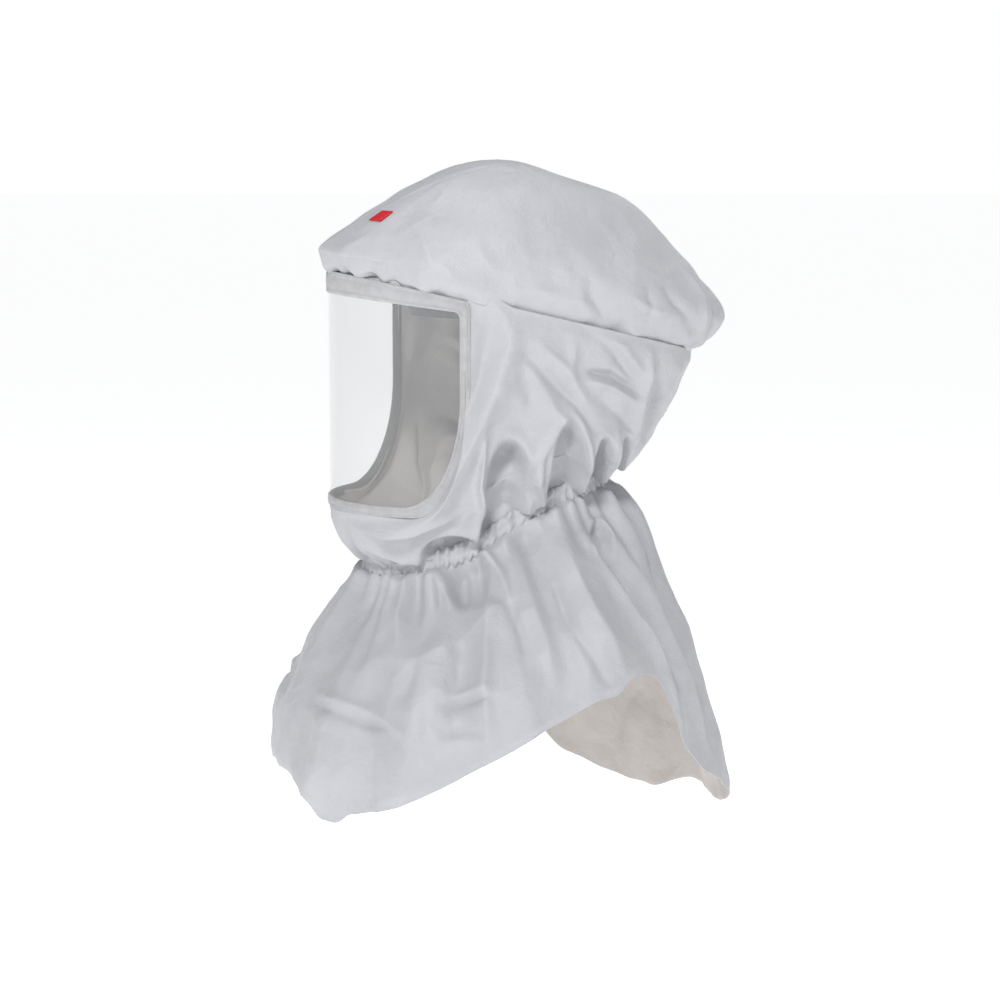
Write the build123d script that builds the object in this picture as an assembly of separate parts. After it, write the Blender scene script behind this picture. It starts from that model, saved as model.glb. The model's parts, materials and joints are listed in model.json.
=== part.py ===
"""Head top of a powered air respirator: fabric hood, visor, shoulder cape and head harness.

Millimetres.  +Z is up, the wearer faces -Y and the wearer's left is +X.  The origin is the centre
of the head ring.  Side profiles are given as (forward, height), where forward is -Y.
"""
from build123d import *
from math import cos, pi, radians, sin
import os

# ---------------------------------------------------------------- driving dimensions
FABRIC = 1.2              # thickness of the fabric solids
SECTION_POINTS = 32       # points round each fabric section
CLEAR = 0.3               # gap between pieces that move past each other

# each section: height at the ring centre, slope, front, back, half width, squareness
CROWN_SECTIONS = [
    (-16, 0.237, 170, -151, 112, 2.3),
    (9, 0.17, 182, -186, 117, 2.3),
    (32, 0.12, 173, -166, 112, 2.25),
    (62, 0.08, 139, -131, 97, 2.2),
    (92, 0.04, 102, -88, 74, 2.1),
    (112, 0.02, 62, -26, 43, 2.0),
]
CROWN_APEX = (22, 122)    # forward, height

SIDE_SECTIONS = [
    (-60, 0.10, 170, -140, 112, 2.3),
    (-105, -0.05, 170, -126, 112, 2.3),
    (-145, -0.19, 170, -111, 107, 2.3),
    (-163, -0.26, 163, -97, 93, 2.25),
]
SEAM = CROWN_SECTIONS[0]
NECK_TOP = (-175, -0.32, 141, -74, 81, 2.2)
NECK_HEIGHT = 12.0
NECK_WALL_OUT = 1.5
NECK_WALL_IN = 2.5
ELASTIC_WIDTH = 7.0
ELASTIC_THICK = 1.4

CAPE_SECTIONS = [
    (-226, -0.25, 168, -105, 125, 2.15),
    (-275, -0.18, 192, -124, 172, 2.15),
    (-335, -0.10, 216, -150, 197, 2.2),
    (-400, -0.03, 223, -172, 205, 2.2),
    (-470, 0.0, 214, -194, 203, 2.2),
]
# hems seen from each side: front lobe, shoulder arch, back lobe; the right one hangs lower
HEM_LEFT = [(240, -411), (224, -412), (212, -424), (194, -427), (158, -400), (107, -372), (38, -336),
            (-5, -310), (-47, -300), (-74, -306), (-97, -358), (-121, -392), (-157, -423),
            (-240, -446)]
HEM_RIGHT = [(240, -411), (224, -412), (202, -425), (160, -418), (107, -396), (38, -372), (-5, -362),
             (-40, -366), (-74, -398), (-100, -430), (-133, -448), (-157, -450), (-240, -446)]

VISOR_RADIUS = 105.3
VISOR_CENTRE = 64.7       # forward position of the visor's plan arc
VISOR_SIDE = 88           # forward position of the visor's side edges
LENS_TOP_LINE = (-17.8, 0.146)        # height at the ring centre, slope
BAND_TOP_LINE = (-15.7, 0.237)        # runs just above the crown seam
VISOR_BOTTOM = -168
VISOR_CORNER = (46, 92)   # lower corner: forward and upward half axes
VISOR_TOP_CORNER = 6
LENS_THICK = 0.8
TAPE_WIDTH = 8.0
TAPE_OUT = 1.9
TAPE_IN = 1.9
BOW_OUT = 3.0             # how far inside the lens's arc the bow's faces lie
BOW_IN = 7.0

RING_RADIUS = 79.0
RING_STRAIGHT = 20.0      # half length of the ring's straight sides
BAND_THICK = 1.8
BAND_HEIGHT = 26.0
FRONT_BAND_END = 12.0     # how far behind the centre the front band ends
REAR_BAND_END = 12.0      # how far ahead of the centre the rear band ends
REAR_BAND_HEIGHT = 20.0
REAR_DIP = -18.0                      # height of the rear band's centre at the nape
PAD_THICK = 5.0

STRAP_THICK = 1.6
STRAP_BASE = 10.0
STRAP_RISE = 66.4
STRAP_WIDTH = 20.0
STRAP_GAP = 0.6           # how far the long strap lies above the cross strap

DUCT_LINE = [(-119, -74), (-131, -50), (-143, -18), (-139, 12), (-115, 40), (-82, 68), (-38, 90),
             (16, 97), (62, 86), (102, 62)]
DUCT_HALF_WIDTH = 35.0
DUCT_DEPTH = 14.0
DUCT_WALL = 1.6
MANIFOLD_BACK = 98.0

PORT_CENTRE = (-125.6, -100.0)        # forward, height, on the hood's back
PORT_TILT = 30.0                      # degrees below level
SOCKET_BORE_R = 16.0
SOCKET_WALL = 4.0
SOCKET_LENGTH = 24.0
PORT_HOLE_R = 24.0

RATCHET_HALF = (27.0, 14.0)           # half width, half height of the housing
RATCHET_DEPTH = 9.0
KNOB_R = 14.0
KNOB_DEPTH = 9.0
KNOB_RIBS = 18
PINION_R = 6.0


# ---------------------------------------------------------------- helpers
def power(value, exponent):
    """Signed power, for superellipses."""
    return abs(value) ** exponent * (1 if value >= 0 else -1)


def section_point(spec, angle, inset=0.0, drop=0.0):
    """One point of a fabric section; angle 0 is the front, a quarter turn the wearer's left."""
    height, slope, front, back, half_width, squareness = spec
    centre = (front + back) / 2
    half_length = (front - back) / 2 - inset
    forward = centre + half_length * power(cos(angle), 2 / squareness)
    side = (half_width - inset) * power(sin(angle), 2 / squareness)
    return Vector(side, -forward, height - drop + slope * forward)


def blended(specs, rows_between):
    """Sections with Catmull-Rom rows added between the given ones."""
    rows = []
    for index in range(len(specs) - 1):
        before = specs[max(index - 1, 0)]
        after = specs[min(index + 2, len(specs) - 1)]
        for step in range(rows_between):
            t = step / rows_between
            rows.append(tuple(
                0.5 * (2 * p1 + (p2 - p0) * t + (2 * p0 - 5 * p1 + 4 * p2 - p3) * t * t
                       + (3 * p1 - p0 - 3 * p2 + p3) * t ** 3)
                for p0, p1, p2, p3 in zip(before, specs[index], specs[index + 1], after)))
    return rows + [specs[-1]]


def triangle(a, b, c):
    """Flat face on three corners."""
    return Face(Wire.make_polygon([a, b, c], close=True))


def patch_faces(rows):
    """Triangles over a grid of points."""
    faces = []
    for upper, lower in zip(rows, rows[1:]):
        for k in range(len(upper) - 1):
            faces.append(triangle(upper[k], lower[k], upper[k + 1]))
            faces.append(triangle(upper[k + 1], lower[k], lower[k + 1]))
    return faces


def sheet_solid(outer, inner):
    """Closed solid between two grids of the same size, with its four edges filled."""
    faces = patch_faces(outer) + patch_faces(inner)
    for edge in (0, -1):
        faces += patch_faces([outer[edge], inner[edge]])
        faces += patch_faces([[row[edge] for row in outer], [row[edge] for row in inner]])
    return Solid(Shell(faces))


def ring_solid(loops):
    """Closed solid ring whose cross-section has one corner on each loop of points."""
    closed = [loop + [loop[0]] for loop in loops]
    return Solid(Shell(patch_faces(closed + [closed[0]])))


def half_angles(sign):
    """Angles from the front to the back on one side."""
    return [sign * pi * step / (SECTION_POINTS // 2) for step in range(SECTION_POINTS // 2 + 1)]


def full_angles():
    """Angles of a whole ring, without the repeated last one."""
    return [2 * pi * step / SECTION_POINTS for step in range(SECTION_POINTS)]


def half_sheet(specs, sign):
    """One side of a fabric tube as a thin closed solid."""
    angles = half_angles(sign)
    outer = [[section_point(spec, angle) for angle in angles] for spec in specs]
    inner = [[section_point(spec, angle, FABRIC) for angle in angles] for spec in specs]
    return sheet_solid(outer, inner)


def side_shape(points, half_width):
    """Prism across the head from a side outline given as (forward, height) corners."""
    corners = [Vector(-half_width, -forward, height) for forward, height in points]
    return Solid.extrude(Face(Wire.make_polygon(corners, close=True)), Vector(2 * half_width, 0, 0))


def block(low, high):
    """Box between two corners given as (x, y, z)."""
    size = [b - a for a, b in zip(low, high)]
    middle = [(a + b) / 2 for a, b in zip(low, high)]
    return Pos(*middle) * Box(*size)


def save(name, shape):
    """Write one node; a group keeps its separate solids."""
    solids = [s for s in shape.solids() if s.volume > 0.5]
    body = solids[0] if len(solids) == 1 else Compound(children=[Solid(s.wrapped) for s in solids])
    body.label = name
    export_step(body, f"parts/{name}.step")


def tilted(centre, tilt):
    """Location whose Z axis points back and down along the breathing tube."""
    forward, height = centre
    out = Vector(0, cos(radians(tilt)), -sin(radians(tilt)))
    return Plane(origin=(0, -forward, height), x_dir=(1, 0, 0), z_dir=out).location


# ---------------------------------------------------------------- hood fabric
def crown_rows(inset):
    """Grid rows of the crown from the seam to just below the apex."""
    specs = blended(CROWN_SECTIONS, 2)
    return [[section_point(spec, angle, inset, 0 if row == 0 else inset)
             for angle in full_angles()] for row, spec in enumerate(specs)]


def crown_solid():
    """The domed cap panel as a thin closed solid."""
    faces = []
    edges = []
    for inset in (0.0, FABRIC):
        rows = [row + [row[0]] for row in crown_rows(inset)]
        forward, height = CROWN_APEX
        apex = Vector(0, -forward, height - inset)
        faces += patch_faces(rows)
        faces += [triangle(a, b, apex) for a, b in zip(rows[-1], rows[-1][1:])]
        edges.append(rows[0])
    return Solid(Shell(faces + patch_faces(edges)))


def crown_tab():
    """The small plain coloured tab on the crown's front slope."""
    specs = blended(CROWN_SECTIONS[2:5], 4)[3:6]
    angles = [radians(12 + 3 * step) for step in range(4)]
    outer = [[section_point(spec, angle, -1.5, -0.8) for angle in angles] for spec in specs]
    inner = [[section_point(spec, angle, -0.7, -0.4) for angle in angles] for spec in specs]
    return sheet_solid(outer, inner)


def neck_bottom_spec():
    """The casing's lower edge, straight below its upper edge."""
    return (NECK_TOP[0] - NECK_HEIGHT,) + NECK_TOP[1:]


def visor_outline(grow, top_line):
    """Prism across the head on the visor's side outline, grown outwards, under a sloping top."""
    back = VISOR_SIDE - grow
    low = VISOR_BOTTOM - grow
    run, rise = VISOR_CORNER
    reach = 260.0

    def high(forward):
        return top_line[0] + top_line[1] * forward

    steps = 8
    corners = []
    for step in range(steps + 1):
        angle = pi / 2 * step / steps
        corners.append((back + run * (1 - sin(angle)), low + rise * (1 - cos(angle))))
    r = VISOR_TOP_CORNER
    rounding = [(back + r * (1 - cos(pi * k / 8)), high(back + r) - r * (1 - sin(pi * k / 8)))
                for k in range(5)]
    return side_shape(corners + rounding + [(reach, high(reach)), (reach, low)], reach)


def port_hole():
    """The round hole in the hood's back."""
    return tilted(PORT_CENTRE, PORT_TILT) * Cylinder(PORT_HOLE_R, 60)


def hem_tool(line):
    """What is cut away below a hem."""
    far, floor = 260, -520
    return side_shape(line + [(-far, line[-1][1]), (-far, floor), (far, floor), (far, line[0][1])],
                      far)


def hood_fabric():
    """Crown, side panels, cape halves, seam piping and the coloured tab."""
    cut = visor_outline(TAPE_WIDTH, BAND_TOP_LINE)
    save("crown_panel", crown_solid() - cut)
    side_specs = blended([SEAM] + SIDE_SECTIONS + [NECK_TOP], 2)
    cape_specs = blended([neck_bottom_spec()] + CAPE_SECTIONS, 2)
    for name, sign, hem in (("left", 1, HEM_LEFT), ("right", -1, HEM_RIGHT)):
        save(f"side_panel_{name}", half_sheet(side_specs, sign) - cut - port_hole())
        save(f"cape_{name}", half_sheet(cape_specs, sign) - hem_tool(hem))

    bead = 2.4
    corners = ((FABRIC + 0.4, -0.3), (FABRIC + 0.4 + bead, -0.3),
               (FABRIC + 0.4 + bead, -0.3 - bead), (FABRIC + 0.4, -0.3 - bead))
    loops = [[section_point(SEAM, angle, inset, drop) for angle in full_angles()]
             for inset, drop in corners]
    ahead = block((-200, -300, -100), (200, -(VISOR_SIDE - TAPE_WIDTH), 100))
    save("crown_seam_piping", ring_solid(loops) - ahead)
    save("crown_tab", crown_tab())


def neck_ring(grow, inset, low, high):
    """Ring round the neck between two insets and two heights above the casing's lower edge."""
    height = NECK_TOP[0] - NECK_HEIGHT
    corners = ((-grow, high), (inset, high), (inset, low), (-grow, low))
    return ring_solid([[section_point((height + lift,) + NECK_TOP[1:], angle, edge)
                        for angle in full_angles()] for edge, lift in corners])


def neck_band():
    """The gathered casing and the elastic inside it."""
    half_gap = (NECK_HEIGHT - ELASTIC_WIDTH) / 2
    wall = 0.8
    cavity = neck_ring(NECK_WALL_OUT - wall, NECK_WALL_IN - wall, half_gap - CLEAR,
                       NECK_HEIGHT - half_gap + CLEAR)
    save("neck_casing", neck_ring(NECK_WALL_OUT, NECK_WALL_IN, 0, NECK_HEIGHT) - cavity)
    elastic_out = NECK_WALL_OUT - wall - CLEAR
    save("neck_elastic", neck_ring(elastic_out, ELASTIC_THICK - elastic_out, half_gap,
                                   NECK_HEIGHT - half_gap))


# ---------------------------------------------------------------- visor
def visor_prism(inset, low, high):
    """Upright round column on the visor's plan arc."""
    radius = VISOR_RADIUS - inset
    return Pos(0, -VISOR_CENTRE, (low + high) / 2) * Cylinder(radius, high - low)


def visor():
    """Lens, edge tape with its top band, and the stiff bow behind the band."""
    inner_outline = visor_outline(0, LENS_TOP_LINE)
    outer_outline = visor_outline(TAPE_WIDTH, BAND_TOP_LINE)
    low, high = VISOR_BOTTOM - 20, 40

    def shell(out, inn):
        return visor_prism(-out, low, high) - visor_prism(inn, low, high)

    save("visor_lens", shell(0, LENS_THICK) & inner_outline)
    save("visor_edge_tape", (shell(TAPE_OUT, TAPE_IN) & outer_outline) - inner_outline)

    bow_low, bow_high = 13.0, 22.0
    bow = visor_prism(BOW_OUT, bow_low, bow_high) - visor_prism(BOW_IN, bow_low, bow_high)
    save("visor_bow", bow & block((-200, -260, bow_low), (200, -92, bow_high)))

    strut_low, strut_high = 14.0, 21.0
    for name, sign in (("left", 1), ("right", -1)):
        corners = [(98, -88), (95, -101), (62, -73), (69, -64)]
        points = [Vector(sign * x, y, strut_low) for x, y in corners]
        strut = Solid.extrude(Face(Wire.make_polygon(points, close=True)),
                              Vector(0, 0, strut_high - strut_low))
        strut = strut & visor_prism(BOW_IN, strut_low, strut_high)
        low_x, high_x = sorted((sign * 55, sign * 75))
        foot = block((low_x, -76, -10), (high_x, -62, strut_low))
        foot = foot & ring_prism(BAND_THICK + 3.0, -BAND_THICK, -10, strut_low)
        ledge = block((low_x, -76, strut_low), (high_x, -62, strut_low + 3))
        ledge = ledge & ring_prism(BAND_THICK + 3.0, -BAND_THICK, strut_low, strut_low + 3)
        save(f"bow_strut_{name}", strut + foot + ledge)


# ---------------------------------------------------------------- headband
def ring_column(grow, low, high):
    """Column on the head ring's outline: two half circles joined by straight sides."""
    radius = RING_RADIUS + grow
    middle = (low + high) / 2
    column = Pos(0, -RING_STRAIGHT, middle) * Cylinder(radius, high - low)
    column = column + Pos(0, RING_STRAIGHT, middle) * Cylinder(radius, high - low)
    return column + block((-radius, -RING_STRAIGHT, low), (radius, RING_STRAIGHT, high))


def ring_prism(out, inn, low, high):
    """Upright wall that follows the head ring, from inn inside it to out outside it."""
    return ring_column(out, low, high) - ring_column(-inn, low, high)


def front_band():
    """The fixed front half of the ring, its pad and the guides for the rear half."""
    half = BAND_HEIGHT / 2
    band = ring_prism(BAND_THICK, 0, -half, half)
    save("front_headband", (band & block((-150, -260, -60), (150, FRONT_BAND_END, 60))) - slot_row())

    skin = STRAP_THICK + 1.0
    pad = ring_prism(-skin, skin + PAD_THICK, -half + 1, half - 1)
    save("brow_pad", pad & block((-150, -260, -60), (150, -45, 60)))

    out = BAND_THICK + 2 * CLEAR + BAND_THICK
    guide_half = REAR_BAND_HEIGHT / 2 + 2.4
    channel_half = REAR_BAND_HEIGHT / 2 + CLEAR
    for name, sign in (("left", 1), ("right", -1)):
        low_x, high_x = sorted((sign * 60, sign * 120))
        guide = ring_prism(out + 1.6, -BAND_THICK, -guide_half, guide_half)
        channel = ring_prism(out, -BAND_THICK, -channel_half, channel_half)
        save(f"size_guide_{name}", (guide - channel) & block((low_x, -3, -40), (high_x, 9, 40)))


def slot_row():
    """Rows of small ventilation slots in the front band's sides."""
    slots = []
    for sign in (-1, 1):
        for step in range(4):
            slots.append(Pos(sign * 72, -(30 + 9 * step), -3) * Box(36, 3.2, 6))
    return slots


def dip_profile(half_height):
    """Side outline of the rear band, which drops towards the nape."""
    steps = 8
    start, end = -24.0, -80.0

    def middle(forward):
        t = min(1, max(0, (start - forward) / (start - end)))
        return REAR_DIP * t * t * (3 - 2 * t)

    stations = [60.0] + [start + (end - start) * k / steps for k in range(steps + 1)] + [-130.0]
    top = [(f, middle(f) + half_height) for f in stations]
    bottom = [(f, middle(f) - half_height) for f in reversed(stations)]
    return side_shape(top + bottom, 120)


def rear_band():
    """The sliding rear half of the ring with its pad and the ratchet."""
    inner = BAND_THICK + CLEAR
    outer = inner + BAND_THICK
    band = ring_prism(outer, -inner, -50, 30) & block((-150, -REAR_BAND_END, -60), (150, 160, 60))
    save("rear_headband", band & dip_profile(REAR_BAND_HEIGHT / 2))

    pad = ring_prism(inner, PAD_THICK - inner, -50, 30) & block((-60, 66, -60), (60, 160, 60))
    save("nape_pad", pad & dip_profile(REAR_BAND_HEIGHT / 2 + 2))
    ratchet(RING_RADIUS + RING_STRAIGHT + outer)


def knob_disc():
    """Ribbed knob."""
    ribs = []
    for step in range(KNOB_RIBS):
        turn = 360 * step / KNOB_RIBS
        ribs.append(Rot(0, 0, turn) * Pos(KNOB_R - 0.9, 0, 0) * Cylinder(1.1, KNOB_DEPTH))
    return Cylinder(KNOB_R - 0.8, KNOB_DEPTH) + ribs


def ratchet(band_back):
    """Housing, cover, pinion and knob behind the rear band."""
    half_w, half_h = RATCHET_HALF
    wall = 2.0
    back = band_back + RATCHET_DEPTH
    front = band_back - 8
    low, high = REAR_DIP - half_h, REAR_DIP + half_h
    shape = block((-half_w, front, low), (half_w, back, high))
    shape = shape - block((-half_w + wall, front - 1, low + wall),
                          (half_w - wall, back - wall, high - wall))
    inside = ring_column(band_back - RING_RADIUS - RING_STRAIGHT, -60, 40)
    shaft_r = 3.0
    shaft_hole = Pos(0, back, REAR_DIP) * Rot(90, 0, 0) * Cylinder(shaft_r + 0.06, 12)
    save("ratchet_housing", shape - inside - shaft_hole)

    gap = 0.2
    plate_front = back - wall - 1.6
    plate = block((-half_w + wall + gap, plate_front, low + wall + gap),
                  (half_w - wall - gap, back - wall, high - wall - gap))
    save("ratchet_cover", plate - shaft_hole)

    teeth = [Rot(0, 0, 36 * step) * Pos(PINION_R - 1.2, 0, 0) * Box(2.4, 1.8, 3.0)
             for step in range(10)]
    gear_y = plate_front - 1.9
    pinion = Pos(0, gear_y, REAR_DIP) * Rot(90, 0, 0) * (Cylinder(PINION_R - 1.2, 3.0) + teeth)
    shaft_end = back + 4.0
    shaft = Pos(0, (gear_y + shaft_end) / 2, REAR_DIP) * Rot(90, 0, 0)
    save("ratchet_pinion", pinion + shaft * Cylinder(shaft_r, shaft_end - gear_y))

    knob = Pos(0, back + 0.4 + KNOB_DEPTH / 2, REAR_DIP) * Rot(90, 0, 0) * knob_disc()
    dish = Pos(0, back + 0.4 + KNOB_DEPTH, REAR_DIP) * Rot(90, 0, 0) * Cylinder(KNOB_R - 4, 2.4)
    socket = Pos(0, back + 2, REAR_DIP) * Rot(90, 0, 0) * Cylinder(shaft_r, 4.0)
    save("ratchet_knob", knob - dish - socket)


# ---------------------------------------------------------------- crown straps
def arch_prism(half_span, rise, width, across):
    """Half-ellipse prism standing on the strap base; across sets the direction it spans."""
    steps = 24
    points = []
    for step in range(steps + 1):
        angle = pi * step / steps
        reach, height = half_span * cos(angle), STRAP_BASE + rise * sin(angle)
        points.append(Vector(reach, -width / 2, height) if across else
                      Vector(-width / 2, reach, height))
    lift = Vector(0, width, 0) if across else Vector(width, 0, 0)
    return Solid.extrude(Face(Wire.make_polygon(points, close=True)), lift)


def crown_straps():
    """Cross strap, long strap, their pegs and the pad under them."""
    span_out = RING_RADIUS - 0.2
    span_in = span_out - STRAP_THICK
    rise_out = STRAP_RISE + STRAP_THICK
    cross = arch_prism(span_out, rise_out, STRAP_WIDTH, True)
    cross = cross - arch_prism(span_in, STRAP_RISE, STRAP_WIDTH + 2, True)
    for sign in (-1, 1):
        low, high = sorted((sign * span_in, sign * span_out))
        cross = cross + block((low, -STRAP_WIDTH / 2, -8), (high, STRAP_WIDTH / 2, STRAP_BASE))
    save("crown_strap_cross", cross)

    reach_out = RING_STRAIGHT + RING_RADIUS - 0.8
    reach_in = reach_out - STRAP_THICK
    width = 18.0
    strap = arch_prism(reach_out, rise_out + STRAP_GAP + STRAP_THICK, width, False)
    strap = strap - arch_prism(reach_in, rise_out + STRAP_GAP, width + 2, False)
    strap = strap & block((-50, -200, -50), (50, 10, 200))
    strap = strap + block((-width / 2, -reach_out, -8), (width / 2, -reach_in, STRAP_BASE))
    save("crown_strap_long", strap)

    pad = arch_prism(span_in, STRAP_RISE, 80, True)
    pad = pad - arch_prism(span_in - PAD_THICK, STRAP_RISE - PAD_THICK, 82, True)
    pad = pad & arch_prism(reach_in, rise_out - 0.2, 200, False)
    save("crown_pad", pad & (Pos(0, 0, 90) * Cylinder(30, 120)))

    pegs = [Pos(sign * (span_in - 0.7), 5 * step, -2) * Rot(0, 90, 0) * Cylinder(2.2, 1.4)
            for sign in (-1, 1) for step in (-1, 1)]
    save("strap_pegs", Compound(children=pegs))


# ---------------------------------------------------------------- air duct
def duct_curve():
    """Points and upward normals along the duct's middle line, as (forward, height) pairs."""
    line = blended(DUCT_LINE, 3)
    curve = []
    for index, (forward, height) in enumerate(line):
        before = line[max(index - 1, 0)]
        after = line[min(index + 1, len(line) - 1)]
        run, rise = after[0] - before[0], after[1] - before[1]
        length = (run * run + rise * rise) ** 0.5
        curve.append((forward, height, -rise / length, run / length))
    return curve


def duct_band(inner, outer, half_width):
    """Prism between two curves offset from the duct's middle line, outwards from the head."""
    curve = duct_curve()
    low = [(f + inner * nf, h + inner * nh) for f, h, nf, nh in curve]
    high = [(f + outer * nf, h + outer * nh) for f, h, nf, nh in curve]
    return side_shape(low + high[::-1], half_width)


def air_duct():
    """Two shells and the mount that carries them on the strap."""
    half = DUCT_DEPTH / 2
    ahead = block((-200, -300, -200), (200, -MANIFOLD_BACK, 300))
    tube = duct_band(-half, half, DUCT_HALF_WIDTH)
    bore = duct_band(-half + DUCT_WALL, half - DUCT_WALL, DUCT_HALF_WIDTH - DUCT_WALL)
    seat = tilted(PORT_CENTRE, PORT_TILT) * Cylinder(SOCKET_BORE_R + SOCKET_WALL, 56)
    shell = tube - bore - ahead - seat
    save("duct_lower_shell", shell & duct_band(-half - 1, 0, DUCT_HALF_WIDTH + 1))
    save("duct_upper_shell", shell & duct_band(0, half + 1, DUCT_HALF_WIDTH + 1))

    top_of_strap = STRAP_BASE + STRAP_RISE + 2 * STRAP_THICK + STRAP_GAP
    mount = block((-9, -10, top_of_strap + 0.1), (9, 8, 100))
    save("duct_mount", mount - duct_band(-half, 60, 60))
    manifold()


def manifold():
    """Box above the visor that spreads the air, with two windows under two sliders."""
    half = 52.0
    wall = 2.0
    back = MANIFOLD_BACK
    outline = [(back, 76), (back + 9, 76), (back + 29, 58), (back + 29, 42), (back, 42)]
    inside = [(back + wall, 74), (back + 8, 74), (back + 27, 57), (back + 27, 44), (back + wall, 44)]
    box = side_shape(outline, half) - side_shape(inside, half - wall)
    entry = block((-DUCT_HALF_WIDTH + DUCT_WALL, -back - 3, 60),
                  (DUCT_HALF_WIDTH - DUCT_WALL, -back + 1, 69))
    windows = [block((low, -back - 23, 41), (low + 32, -back - 6, 45)) for low in (-44, 12)]
    save("outlet_manifold", box - entry - windows)

    slots = []
    for sign in (-1, 1):
        for step in range(7):
            x = sign * (15 + 4.4 * step)
            slots.append(block((x - 1.3, -back - 23, 39), (x + 1.3, -back - 6, 43)))
        low, high = sorted((sign * 20, sign * 42))
        slots.append(block((low, -back - 18, 39), (high, -back - 11, 43)))
    save("outlet_grille", block((-46, -back - 25, 40.2), (46, -back - 4, 42)) - slots)

    floor = 44.0 + CLEAR
    for name, sign in (("left", 1), ("right", -1)):
        low, high = sorted((sign * 29, sign * 46))
        plate = block((low, -back - 25, floor), (high, -back - 4.5, floor + 1.6))
        low, high = sorted((sign * 36, sign * 40))
        tab = block((low, -back - 17, 36), (high, -back - 12, floor))
        save(f"airflow_slider_{name}", plate + tab)


# ---------------------------------------------------------------- air inlet
def inlet():
    """Plenum at the duct's lower end, tube socket, seal and the elastic rim of the hood's port."""
    outline = [(-124, -75), (-118, -92), (-101, -118), (-82, -104), (-91, -82), (-108, -71)]
    middle = [sum(c) / len(outline) for c in zip(*outline)]
    shrink = 0.83
    inside = [(middle[0] + (f - middle[0]) * shrink, middle[1] + (h - middle[1]) * shrink)
              for f, h in outline]
    half = 32.0
    wall = 2.2
    place = tilted(PORT_CENTRE, PORT_TILT)
    outer_r = SOCKET_BORE_R + SOCKET_WALL
    plenum = side_shape(outline, half) - side_shape(inside, half - wall)
    seat = place * Cylinder(outer_r, 56)
    plenum = plenum - seat
    throat = block((-26, 110, -84), (26, 120, -66))
    duct_end = duct_band(-DUCT_DEPTH / 2, DUCT_DEPTH / 2, DUCT_HALF_WIDTH)
    save("rear_plenum", plenum - throat - duct_end)

    socket = place * Pos(0, 0, 0.5 - SOCKET_LENGTH / 2) * Cylinder(outer_r, SOCKET_LENGTH)
    bore = place * Pos(0, 0, 0.5 - SOCKET_LENGTH / 2) * Cylinder(SOCKET_BORE_R, SOCKET_LENGTH + 1)
    groove_at = 0.5 - 8.0
    groove = place * Pos(0, 0, groove_at) * (Cylinder(SOCKET_BORE_R + 1.6, 2.6)
                                             - Cylinder(SOCKET_BORE_R - 1, 3))
    save("inlet_socket", socket - bore - groove)
    seal = place * Pos(0, 0, groove_at) * (Cylinder(SOCKET_BORE_R + 1.5, 2.4)
                                           - Cylinder(SOCKET_BORE_R + 0.2, 3))
    save("inlet_seal", seal)

    rim = place * Pos(0, 0, -2.0) * (Cylinder(PORT_HOLE_R, 10) - Cylinder(outer_r, 12))
    save("port_elastic", rim)


def main():
    os.makedirs("parts", exist_ok=True)
    hood_fabric()
    neck_band()
    visor()
    front_band()
    rear_band()
    crown_straps()
    air_duct()
    inlet()


main()
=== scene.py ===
"""Looks of the powered air respirator head top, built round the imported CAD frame.

Metres.  +Z is up, the wearer faces -Y and the wearer's left is +X.  Fabric shapes are worked out in
millimetres, with "forward" meaning -Y, and turned into metres when a mesh is made.
"""
import json
import math

import bmesh
import bpy
import numpy as np
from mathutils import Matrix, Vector


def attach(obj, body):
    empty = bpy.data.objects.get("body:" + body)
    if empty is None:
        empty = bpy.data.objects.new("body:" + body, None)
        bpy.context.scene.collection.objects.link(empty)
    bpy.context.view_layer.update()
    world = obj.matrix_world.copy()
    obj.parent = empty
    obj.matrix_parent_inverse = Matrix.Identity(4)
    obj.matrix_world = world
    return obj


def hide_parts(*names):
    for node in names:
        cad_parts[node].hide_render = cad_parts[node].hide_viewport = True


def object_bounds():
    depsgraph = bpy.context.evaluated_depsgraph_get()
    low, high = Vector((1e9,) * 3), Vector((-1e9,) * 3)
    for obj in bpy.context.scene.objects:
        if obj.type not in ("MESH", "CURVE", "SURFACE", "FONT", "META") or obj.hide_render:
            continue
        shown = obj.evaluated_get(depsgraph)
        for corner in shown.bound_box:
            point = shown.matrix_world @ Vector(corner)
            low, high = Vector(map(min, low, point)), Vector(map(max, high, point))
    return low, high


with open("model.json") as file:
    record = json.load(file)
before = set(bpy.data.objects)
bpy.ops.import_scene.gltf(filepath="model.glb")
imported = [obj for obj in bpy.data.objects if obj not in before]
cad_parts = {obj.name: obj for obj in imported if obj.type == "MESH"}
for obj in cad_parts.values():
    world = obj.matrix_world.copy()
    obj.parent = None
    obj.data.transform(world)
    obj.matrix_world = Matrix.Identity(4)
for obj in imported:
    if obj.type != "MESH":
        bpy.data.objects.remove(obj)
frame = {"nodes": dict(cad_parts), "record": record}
cad_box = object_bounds()

MM = 0.001
ROOT = "hood"

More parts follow.
